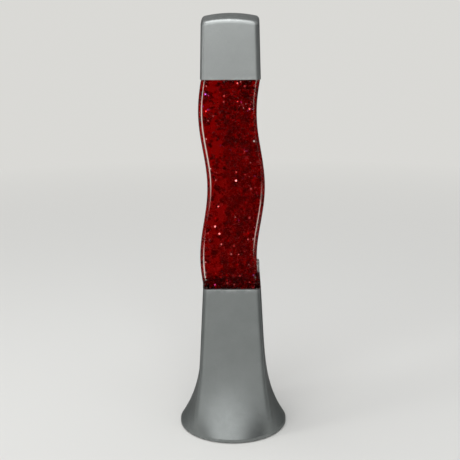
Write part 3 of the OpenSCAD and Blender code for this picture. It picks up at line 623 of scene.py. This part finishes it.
def cavity_rings(play, top):
    """Rings of the vessel's cavity from its floor in the plug upwards, drawn in by the play."""
    v = sizes("vessel")
    half = v.width / 2 - v.wall - play
    plug = v.plug_half - v.plug_wall - play
    corner = v.cavity_corner - play
    made = []
    for a in steps(0, QUARTER, ROUND_STEPS):
        pull = v.cavity_round * (1 - math.sin(a))
        z = cavity_floor() + v.cavity_round * (1 - math.cos(a))
        made.append(square_ring(plug - pull, corner - pull / 2, z + play))
    made += [square_ring(half, corner, z, sway(z)) for z in body_levels()]
    made.append(square_ring(half, corner, top))
    return made


def flare(z):
    """How far the base has flared at height z: 1 over the lip, nought where the flare starts."""
    s = sizes("shells")
    low = BASE_BOX[0].z + s.lip_height
    return (max(0.0, s.flare_start - z) / (s.flare_start - low)) ** s.flare_power


def base_half(z):
    """Half the width of the base at height z."""
    s = sizes("shells")
    low = BASE_BOX[0].z + s.lip_height
    top = BASE_BOX[1].z
    out = s.foot_radius - s.rim_half - math.tan(s.lean) * (top - low)
    return s.rim_half + math.tan(s.lean) * (top - z) + out * flare(z)


def base_section(half, share, z, inset=0.0):
    """Level ring of the base, a share of the way along each ray from a rounded square to a circle."""
    corner = max(sizes("shells").rim_corner - inset, LEAST_CORNER)
    half -= inset
    flat = half - corner
    points = []
    for i in range(8 * RAY_STEPS):
        u = i / RAY_STEPS % 2
        turn = u ** RAY_CROWDING if u < 1 else 2 - (2 - u) ** RAY_CROWDING
        ray = math.pi / 4 * (i // (2 * RAY_STEPS) * 2 + 1 + turn)
        off = math.pi / 4 - math.pi / 4 * min(turn, 2 - turn)
        if half * math.tan(off) <= flat:
            reach = half / math.cos(off)
        else:
            along = flat * (math.cos(off) + math.sin(off))
            across = flat * (math.cos(off) - math.sin(off))
            reach = along + math.sqrt(corner * corner - across * across)
        reach += (half - reach) * share
        points.append(Vector((reach * math.cos(ray), reach * math.sin(ray), z)))
    return points


def base_ring(z, depth):
    """Section of the base at height z, a share of the wall's thickness inside its outer face."""
    slope = (base_half(z - 0.5 * MM) - base_half(z + 0.5 * MM)) / MM
    inset = depth * sizes("shells").base_wall * math.sqrt(1 + slope * slope)
    return base_section(base_half(z), flare(z), z, inset)


def base_levels(count):
    """Heights from the lip to the rim, closer together near the lip."""
    low = BASE_BOX[0].z + sizes("shells").lip_height
    top = BASE_BOX[1].z
    return [low + (top - low) * (i / count) ** BASE_CROWDING for i in range(count + 1)]


def around(radius, angle):
    """Four places on a circle, mirrored in X and Y."""
    return [Vector((radius * math.cos(a), radius * math.sin(a), 0))
            for a in (angle, math.pi - angle, math.pi + angle, -angle)]


# Operators


class GLITTERLAMP_OT_base(bpy.types.Operator):
    """Makes the silver base: square at its rim, round at its foot, with the cord inlet behind"""

    bl_idname = "glitter_lamp.make_base"
    bl_label = "Make Base"

    def add_pillars(self, base, lip, bore):
        """Joins four screw pillars to the inside of the base and drills them."""
        up = Vector((0, 0, 1))
        high = lip + PILLAR_HEIGHT
        places = around(bore - PILLAR_INSET, PILLAR_ANGLE)
        pillars = None
        for place in places:
            one = rod("pillar", PILLAR_RADIUS, place + lip * up, place + high * up)
            pillars = combine(pillars, one, "UNION") if pillars else one
        levels = [lip - CUT_OVER] + [z for z in base_levels(TRIM_RINGS) if z < high + TRIM_OVER]
        trim = new_piece("trim", *lofted([base_ring(z, 0.5) for z in levels]))
        combine(base, combine(pillars, trim, "INTERSECT"), "UNION")
        for place in places:
            start = place + (lip - CUT_OVER) * up
            hole = rod("hole", HOLE_RADIUS, start, place + (lip + HOLE_DEPTH) * up)
            combine(base, hole, "DIFFERENCE")

    def cut_notch(self, base, low):
        """Cuts the notch for the cord's bushing out of the back of the foot."""
        s = sizes("shells")
        half = s.notch_width / 2
        outline = [(half, low - CUT_OVER)]
        outline += [(half + s.notch_round * (math.cos(a) - 1),
                     s.notch_top + s.notch_round * (math.sin(a) - 1))
                    for a in steps(0, QUARTER, ROUND_STEPS)]
        outline += [(-x, z) for x, z in reversed(outline)]
        ends = (s.foot_radius + CUT_OVER, NOTCH_REACH * s.foot_radius)
        notch = [[Vector((x, y, z)) for x, z in outline] for y in ends]
        combine(base, new_piece("notch", *lofted(notch)), "DIFFERENCE")

    def execute(self, context):
        s = sizes("shells")
        low = BASE_BOX[0].z
        top = BASE_BOX[1].z
        lip = low + s.lip_height
        bore = s.foot_radius - s.base_wall
        levels = base_levels(BASE_RINGS)[:-1]
        rings = [base_section(s.foot_radius, 1, low, SHELL_EDGE),
                 base_section(s.foot_radius, 1, low + SHELL_EDGE)]
        rings += [base_ring(z, 0.0) for z in levels]
        rings += [base_ring(top - SHELL_EDGE, 0.0), base_ring(top, RIM_EDGE),
                  base_ring(top, 1 - RIM_EDGE), base_ring(top - SHELL_EDGE, 1.0)]
        rings += [base_ring(z, 1.0) for z in reversed(levels)]
        rings += [base_section(bore, 1, lip), base_section(bore, 1, low)]
        base = new_piece("silver_base_shaded", *lofted(rings, loop=True))
        self.add_pillars(base, lip, bore)
        self.cut_notch(base, low)
        shade(base)
        # The base wears the darker copy of the silver paint, which carries painted shade.
        dress(base, silver_paint("silver_paint_base_shaded", sizes("finish").silver_base_shaded, low, top))
        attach(base, "base")
        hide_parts("base_shell")
        return {"FINISHED"}


class GLITTERLAMP_OT_cap(bpy.types.Operator):
    """Makes the silver cap with its domed top"""

    bl_idname = "glitter_lamp.make_cap"
    bl_label = "Make Cap"

    def dome_rings(self, inset):
        """Rings from the lower edge up the side, round the edge and over the dome."""
        s = sizes("shells")
        low = CAP_BOX[0].z
        crest = CAP_BOX[1].z - inset
        half_low = s.cap_half - inset
        half_top = half_low - s.cap_lean
        corner = s.cap_corner - inset
        edge = s.dome_round - inset
        outline = square_ring(half_top, corner, 0, along=SIDE_STEPS)

        def over(share, lowered):
            """The outline drawn in to a share of its width, laid over the dome and lowered."""
            fall = [(share * p.x) ** 2 / (2 * s.dome_across) + (share * p.y) ** 2 / (2 * s.dome_along)
                    for p in outline]
            return [Vector((share * p.x, share * p.y, crest - down - lowered))
                    for p, down in zip(outline, fall)]

        rounded = [over(1 - edge * (1 - math.cos(a)) / half_top, edge * (1 - math.sin(a)))
                   for a in steps(0, QUARTER, ROUND_STEPS)]
        lowest = min(p.z for p in rounded[0])
        sides = [square_ring(half_low + (half_top - half_low) * share, corner,
                             low + (lowest - low) * share, along=SIDE_STEPS)
                 for share in steps(0, 1, CAP_RINGS)[:-1]]
        inner = 1 - edge / half_top
        return sides + rounded + [over(inner * (1 - i / DOME_RINGS), 0) for i in range(1, DOME_RINGS)]

    def execute(self, context):
        s = sizes("shells")
        low = CAP_BOX[0].z
        top = CAP_BOX[1].z
        outside = self.dome_rings(0.0)
        outside[0] = square_ring(s.cap_half, s.cap_corner, low + SHELL_EDGE, along=SIDE_STEPS)
        lower_edge = square_ring(s.cap_half - SHELL_EDGE, s.cap_corner - SHELL_EDGE, low,
                                 along=SIDE_STEPS)
        inside = self.dome_rings(s.cap_wall)
        cap = new_piece("silver_cap", *lofted([*reversed(inside), lower_edge, *outside]))
        shade(cap)
        tone = sizes("finish").silver_cap
        dress(cap, silver_paint("silver_paint_cap", tone, low, top - CAP_WEAR_DROP))
        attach(cap, "cap")
        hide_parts("top_cap")
        return {"FINISHED"}


class GLITTERLAMP_OT_vessel(bpy.types.Operator):
    """Makes the clear wavy vessel with its foot collar, plug, head and filler neck"""

    bl_idname = "glitter_lamp.make_vessel"
    bl_label = "Make Vessel"

    def body(self, inner):
        """Plug, wavy body, head and neck with the cavity in them."""
        v = sizes("vessel")
        half = v.width / 2
        head_top = v.shoulder + v.head_height
        ceiling = head_top - v.ceiling
        plug_low = VESSEL_BOX[0].z
        neck_top = VESSEL_BOX[1].z
        edge = VESSEL_EDGE
        rings = [square_ring(v.plug_half - edge, PLUG_CORNER - edge, plug_low),
                 square_ring(v.plug_half, PLUG_CORNER, plug_low + edge),
                 square_ring(v.plug_half, PLUG_CORNER, SEAT_Z)]
        rings += [square_ring(half, v.corner, z, sway(z)) for z in body_levels()[:-1]]
        rings += [square_ring(half - EDGE_MIDDLE, v.corner - EDGE_MIDDLE, v.shoulder - EDGE_MIDDLE),
                  square_ring(half - edge, v.corner - edge, v.shoulder),
                  square_ring(v.head_half, HEAD_CORNER, v.shoulder),
                  square_ring(v.head_half, HEAD_CORNER, head_top - edge),
                  square_ring(v.head_half - edge, HEAD_CORNER - edge, head_top),
                  round_ring(v.neck_radius, head_top), round_ring(v.neck_radius, neck_top),
                  round_ring(v.neck_bore, neck_top), round_ring(v.neck_bore, ceiling)]
        hollow = cavity_rings(0.0, ceiling - v.cavity_round)
        for a in steps(0, QUARTER, ROUND_STEPS)[1:]:
            pull = v.cavity_round * (1 - math.cos(a))
            hollow.append(square_ring(inner - pull, v.cavity_corner - pull / 2,
                                      ceiling - v.cavity_round * (1 - math.sin(a))))
        return new_piece("clear_vessel", *lofted(rings + list(reversed(hollow))))

    def collar(self, inner):
        """Straight collar round the body's foot, whose back lies in the body's wall."""
        v = sizes("vessel")
        top = SEAT_Z + v.collar_height
        half_top = v.collar_half - v.collar_draft
        slope = v.collar_draft / v.collar_height
        edge = VESSEL_EDGE
        rings = [square_ring(v.collar_half - edge, COLLAR_CORNER - edge, SEAT_Z),
                 square_ring(v.collar_half - EDGE_MIDDLE, COLLAR_CORNER - EDGE_MIDDLE,
                             SEAT_Z + EDGE_MIDDLE)]
        rings += [square_ring(v.collar_half - slope * (z - SEAT_Z), COLLAR_CORNER, z)
                  for z in steps(SEAT_Z + edge, top - edge, COLLAR_RINGS)]
        rings += [square_ring(half_top - EDGE_MIDDLE, COLLAR_CORNER - EDGE_MIDDLE, top - EDGE_MIDDLE),
                  square_ring(half_top - edge, COLLAR_CORNER - edge, top)]
        rings += [square_ring(inner + COLLAR_SINK, v.cavity_corner, z, sway(z))
                  for z in reversed(steps(SEAT_Z, top, COLLAR_BACK_RINGS))]
        return new_piece("collar", *lofted(rings, loop=True))

    def execute(self, context):
        v = sizes("vessel")
        inner = v.width / 2 - v.wall
        vessel = self.body(inner)
        combine(vessel, self.collar(inner), "UNION")
        shade(vessel)
        dress(vessel, clear_plastic(), wetted_wall())
        wet_low = cavity_floor() - WET_BELOW
        wet_high = LIQUID_BOX[1].z
        for face in vessel.data.polygons:
            x, y, z = face.center
            wet = wet_low < z < wet_high and max(abs(x - sway(z)), abs(y)) < inner + WET_BESIDE
            face.material_index = 1 if wet else 0
        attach(vessel, "vessel")
        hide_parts("vessel")
        return {"FINISHED"}


class GLITTERLAMP_OT_liquid(bpy.types.Operator):
    """Fills the vessel with the dark red liquid"""

    bl_idname = "glitter_lamp.fill_liquid"
    bl_label = "Fill Liquid"

    def execute(self, context):
        top = LIQUID_BOX[1].z
        liquid = new_piece("red_liquid", *lofted(cavity_rings(LIQUID_PLAY, top)))
        shade(liquid)
        dress(liquid, dyed_liquid("dyed_liquid", LIQUID_INDEX),
              dyed_liquid("dyed_liquid_surface", SURFACE_INDEX))
        for face in liquid.data.polygons:
            face.material_index = 1 if face.center.z > top - SURFACE_DEPTH else 0
        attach(liquid, "vessel")
        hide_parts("liquid")
        return {"FINISHED"}


class GLITTERLAMP_OT_glitter(bpy.types.Operator):
    """Scatters the glitter flakes through the liquid and on its floor"""

    bl_idname = "glitter_lamp.scatter_glitter"
    bl_label = "Scatter Glitter"

    def execute(self, context):
        v = sizes("vessel")
        g = sizes("glitter")
        chance = random.Random(g.seed)
        reach = v.width / 2 - v.wall - FLAKE_GAP
        low = SEAT_Z - FLAKE_SINK
        high = LIQUID_BOX[1].z - FLAKE_GAP
        points, faces, tones = [], [], []

        def anywhere():
            x = chance.uniform(-reach, reach)
            y = chance.uniform(-reach, reach)
            return Vector((x, y, chance.uniform(low, high)))

        def add(place, turn, tone, scale=1.0):
            """One six-sided flake, moved so far that it lies inside the liquid."""
            radius = scale * chance.uniform(g.smallest, g.largest) / 2
            room = [radius * math.sqrt(max(0.0, 1 - c * c)) + g.thickness for c in turn.col[2]]
            z = min(max(place.z, low + room[2]), high - room[2])
            inset = PLUG_INSET if z < SEAT_Z + PLUG_INSET else 0.0
            x, y = (min(max(c, r + inset - reach), reach - r - inset) for c, r in zip(place.xy, room))
            start = len(points)
            for side in (-0.5, 0.5):
                for a in steps(0, math.tau, FLAKE_SIDES)[:-1]:
                    corner = Vector((radius * math.cos(a), radius * math.sin(a), side * g.thickness))
                    points.append(Vector((x + sway(z), y, z)) + turn @ corner)
            below = [start + i for i in range(FLAKE_SIDES)]
            over = [i + FLAKE_SIDES for i in below]
            faces.append(below[::-1])
            faces.append(over)
            for i in range(FLAKE_SIDES):
                k = (i + 1) % FLAKE_SIDES
                faces.append((below[i], below[k], over[k], over[i]))
            tones.extend([tone] * 2 * FLAKE_SIDES)

        def tumbled(tip):
            """Tipped by an angle out of the level, and turned anyhow."""
            return (Matrix.Rotation(chance.uniform(0, math.tau), 3, "Z") @ Matrix.Rotation(tip, 3, "X")
                    @ Matrix.Rotation(chance.uniform(0, math.tau), 3, "Z"))

        def upright(side, spread):
            """Turned towards one of the four sides, give or take the spread."""
            return (Matrix.Rotation(side * math.pi / 2 + chance.gauss(0, spread), 3, "Z")
                    @ Matrix.Rotation(math.pi / 2 + chance.gauss(0, spread), 3, "X"))

        def any_way():
            return tumbled(math.acos(chance.uniform(-1, 1)))

        # The cloud's dark flakes, massed at the right, paint shade over that side of the liquid.
        for _ in range(g.cloud):
            at = anywhere()
            at.x = reach * (chance.uniform(*SHADE_CLOUD_SPAN) + chance.gauss(0, SHADE_CLOUD_BLUR))
            add(at, upright(FRONT, spread=0.7), tone=chance.uniform(0.0, 0.45), scale=0.75)
        # Clumps take the darkest foil: painted shade.
        for _ in range(g.clumps):
            middle = anywhere()
            for _ in range(g.clump_flakes):
                off = Vector([chance.gauss(0, g.clump_size) for _ in range(3)])
                add(middle + off, any_way(), tone=chance.uniform(0.0, 0.25))
        for _ in range(g.loose):
            add(anywhere(), any_way(), tone=chance.uniform(0.0, 0.75))
        for _ in range(g.near):
            at = anywhere()
            side = chance.choice(NEAR_SIDES)
            deep = reach - chance.random() * NEAR_DEPTH
            if side == RIGHT:
                at.x = deep
            else:
                at.y = deep if side == BACK else -deep
            least_tone = VIOLET_TONE if side == RIGHT else FOIL_TONE
            add(at, upright(side, spread=0.4), tone=chance.uniform(least_tone, 1.0),
                scale=chance.uniform(0.4, 0.75))
        # Settled flakes take mostly the dark foil: painted shade.
        for _ in range(g.settled):
            at = anywhere()
            at.z = low + g.settled_depth * chance.random() ** SETTLED_CROWDING
            add(at, tumbled(tip=chance.gauss(0, 0.45)), tone=0.74 * chance.random() ** 5, scale=0.8)

        glitter = new_piece("glitter_flakes", points, faces)
        glitter.data.attributes.new("flake_tone", "FLOAT", "POINT").data.foreach_set("value", tones)
        dress(glitter, glitter_foil())
        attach(glitter, "vessel")
        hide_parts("glitter")
        return {"FINISHED"}


class GLITTERLAMP_OT_fittings(bpy.types.Operator):
    """Gives the fittings inside and under the lamp their finishes"""

    bl_idname = "glitter_lamp.finish_fittings"
    bl_label = "Finish Fittings"

    def execute(self, context):
        finishes = {name: moulded(name, *look) for name, look in MOULDED.items()}
        finishes |= {name: plated(name, *look) for name, look in PLATED.items()}
        finishes["bulb_glass"] = pearl_glass()
        for part in frame["record"]["subparts"]:
            if part["material_slot"] in finishes:
                dress(frame["nodes"][part["node"]], finishes[part["material_slot"]])
        return {"FINISHED"}


class GLITTERLAMP_OT_stage(bpy.types.Operator):
    """Sets up the camera, the pale floor and the soft light"""

    bl_idname = "glitter_lamp.set_stage"
    bl_label = "Set Stage"

    def set_camera(self, scene):
        t = sizes("stage")
        data = bpy.data.cameras.new("camera")
        data.sensor_width = SENSOR_WIDTH
        data.lens = t.lens
        data.shift_x = t.shift
        camera = bpy.data.objects.new("camera", data)
        camera.matrix_world = (Matrix.Rotation(t.turn, 4, "Z")
                               @ Matrix.Translation((0, -t.distance, t.height))
                               @ Matrix.Rotation(math.pi / 2 - t.tilt, 4, "X")
                               @ Matrix.Rotation(t.roll, 4, "Z"))
        scene.collection.objects.link(camera)
        scene.camera = camera

    def lay_floor(self):
        """A pale floor that takes shadows near the lamp and fades into the backdrop further off."""
        tone = sizes("finish")
        ring = [Vector((FLOOR_RADIUS * math.cos(a), FLOOR_RADIUS * math.sin(a), 0))
                for a in steps(0, math.tau, FLOOR_SIDES)[:-1]]
        floor = new_piece("floor", ring, [list(range(FLOOR_SIDES))])
        f = Finish("pale_floor")
        plain = f.add("BsdfDiffuse", {"Color": (*tone.backdrop, 1)})
        glow = f.add("Emission", {"Color": (*tone.backdrop, 1)})
        away = f.add("VectorMath", {0: f.place}, operation="LENGTH").outputs["Value"]
        far = f.math("MULTIPLY", f.span(away, FLOOR_FADE), f.background_ray())
        f.show(f.add("MixShader", {0: far, 1: plain.outputs[0], 2: glow.outputs[0]}))
        dress(floor, f.material)

    def hang_cards(self):
        """Dark cards beside the lamp that only its gloss shows: painted shade in its reflections."""
        card_shade = moulded("shade_card", (0.05, 0.05, 0.05), gloss=0.8, grain=300)
        for name, panels in SHADE_CARDS.items():
            corners = [Vector((*end, z)) for first, last, heights in panels
                       for end in (first, last) for z in heights]
            faces = [(i, i + 2, i + 3, i + 1) for i in range(0, len(corners), 4)]
            card = new_piece(name, corners, faces)
            for ray in ("camera", "diffuse", "transmission", "shadow"):
                setattr(card, "visible_" + ray, False)
            dress(card, card_shade)

    def lamp(self, name, kind, strength, place, target, **settings):
        data = bpy.data.lights.new(name, kind)
        data.energy = strength
        for key, value in settings.items():
            setattr(data, key, value)
        made = bpy.data.objects.new(name, data)
        bpy.context.scene.collection.objects.link(made)
        made.location = place
        made.rotation_euler = (Vector(target) - Vector(place)).to_track_quat("-Z", "Y").to_euler()

    def set_world(self, scene):
        """A soft white light. Mirrors show a dim room with the backdrop behind and partly above."""
        t = sizes("stage")
        tone = sizes("finish")
        world = bpy.data.worlds.new("studio")
        w = Finish("studio", world)
        towards = w.add("SeparateXYZ", {"Vector": w.add("TexCoord").outputs["Generated"]}).outputs
        room = w.blend(w.span(towards["Y"], BEHIND), (t.front,) * 3, tone.backdrop)
        room = w.blend(w.span(towards["Z"], ABOVE, (0.0, ABOVE_SHARE)), room, tone.backdrop)
        shown = w.blend(w.straight_ray(), room, tone.backdrop)
        backdrop = w.add("Background", {"Color": shown})
        soft = w.add("Background", {"Color": FILL_TINT, "Strength": t.fill})
        w.show(w.add("MixShader", {0: w.background_ray(), 1: soft.outputs[0], 2: backdrop.outputs[0]}))
        scene.world = world

    def execute(self, context):
        scene = context.scene
        t = sizes("stage")
        self.set_camera(scene)
        self.lay_floor()
        self.lamp("key", "SUN", t.key, place=(-0.3, -1.5, 1.05), target=(0, 0, 0.2),
                  angle=math.radians(60))
        self.lamp("side", "AREA", t.side, place=(-1.0, -0.45, 0.55), target=(0, 0, 0.25),
                  shape="RECTANGLE", size=0.25, size_y=0.8)
        self.hang_cards()
        self.lamp("top", "AREA", t.top, place=(-0.15, -0.2, 1.5), target=(0, 0, 0.15),
                  shape="RECTANGLE", size=1.1, size_y=0.7)
        self.set_world(scene)
        scene.view_settings.view_transform = "Standard"
        return {"FINISHED"}


class GLITTERLAMP_PT_panel(bpy.types.Panel):
    """Lists the lamp's pieces and their sizes"""

    bl_idname = "GLITTERLAMP_PT_panel"
    bl_label = "Glitter Lamp"
    bl_space_type = "VIEW_3D"
    bl_region_type = "UI"
    bl_category = "Glitter Lamp"

    def draw(self, context):
        for operator in OPERATORS:
            self.layout.operator(operator.bl_idname)
        for name, group in GROUPS.items():
            box = self.layout.box()
            box.label(text=name.capitalize())
            for key in group.__annotations__:
                box.prop(sizes(name), key)


OPERATORS = (GLITTERLAMP_OT_stage, GLITTERLAMP_OT_base, GLITTERLAMP_OT_cap, GLITTERLAMP_OT_vessel,
             GLITTERLAMP_OT_liquid, GLITTERLAMP_OT_glitter, GLITTERLAMP_OT_fittings)
GROUPS = {"vessel": GlitterLampVessel, "shells": GlitterLampShells, "glitter": GlitterLampGlitter,
          "finish": GlitterLampFinish, "stage": GlitterLampStage}


def register():
    for one in (*GROUPS.values(), *OPERATORS, GLITTERLAMP_PT_panel):
        bpy.utils.register_class(one)
    for name, group in GROUPS.items():
        setattr(bpy.types.Scene, "glitter_lamp_" + name, PointerProperty(type=group))


def unregister():
    for name in GROUPS:
        delattr(bpy.types.Scene, "glitter_lamp_" + name)
    for one in reversed((*GROUPS.values(), *OPERATORS, GLITTERLAMP_PT_panel)):
        bpy.utils.unregister_class(one)


def main():
    register()
    bpy.ops.glitter_lamp.set_stage()
    bpy.ops.glitter_lamp.make_base()
    bpy.ops.glitter_lamp.make_cap()
    bpy.ops.glitter_lamp.make_vessel()
    bpy.ops.glitter_lamp.fill_liquid()
    bpy.ops.glitter_lamp.scatter_glitter()
    bpy.ops.glitter_lamp.finish_fittings()


if __name__ == "__main__":
    main()
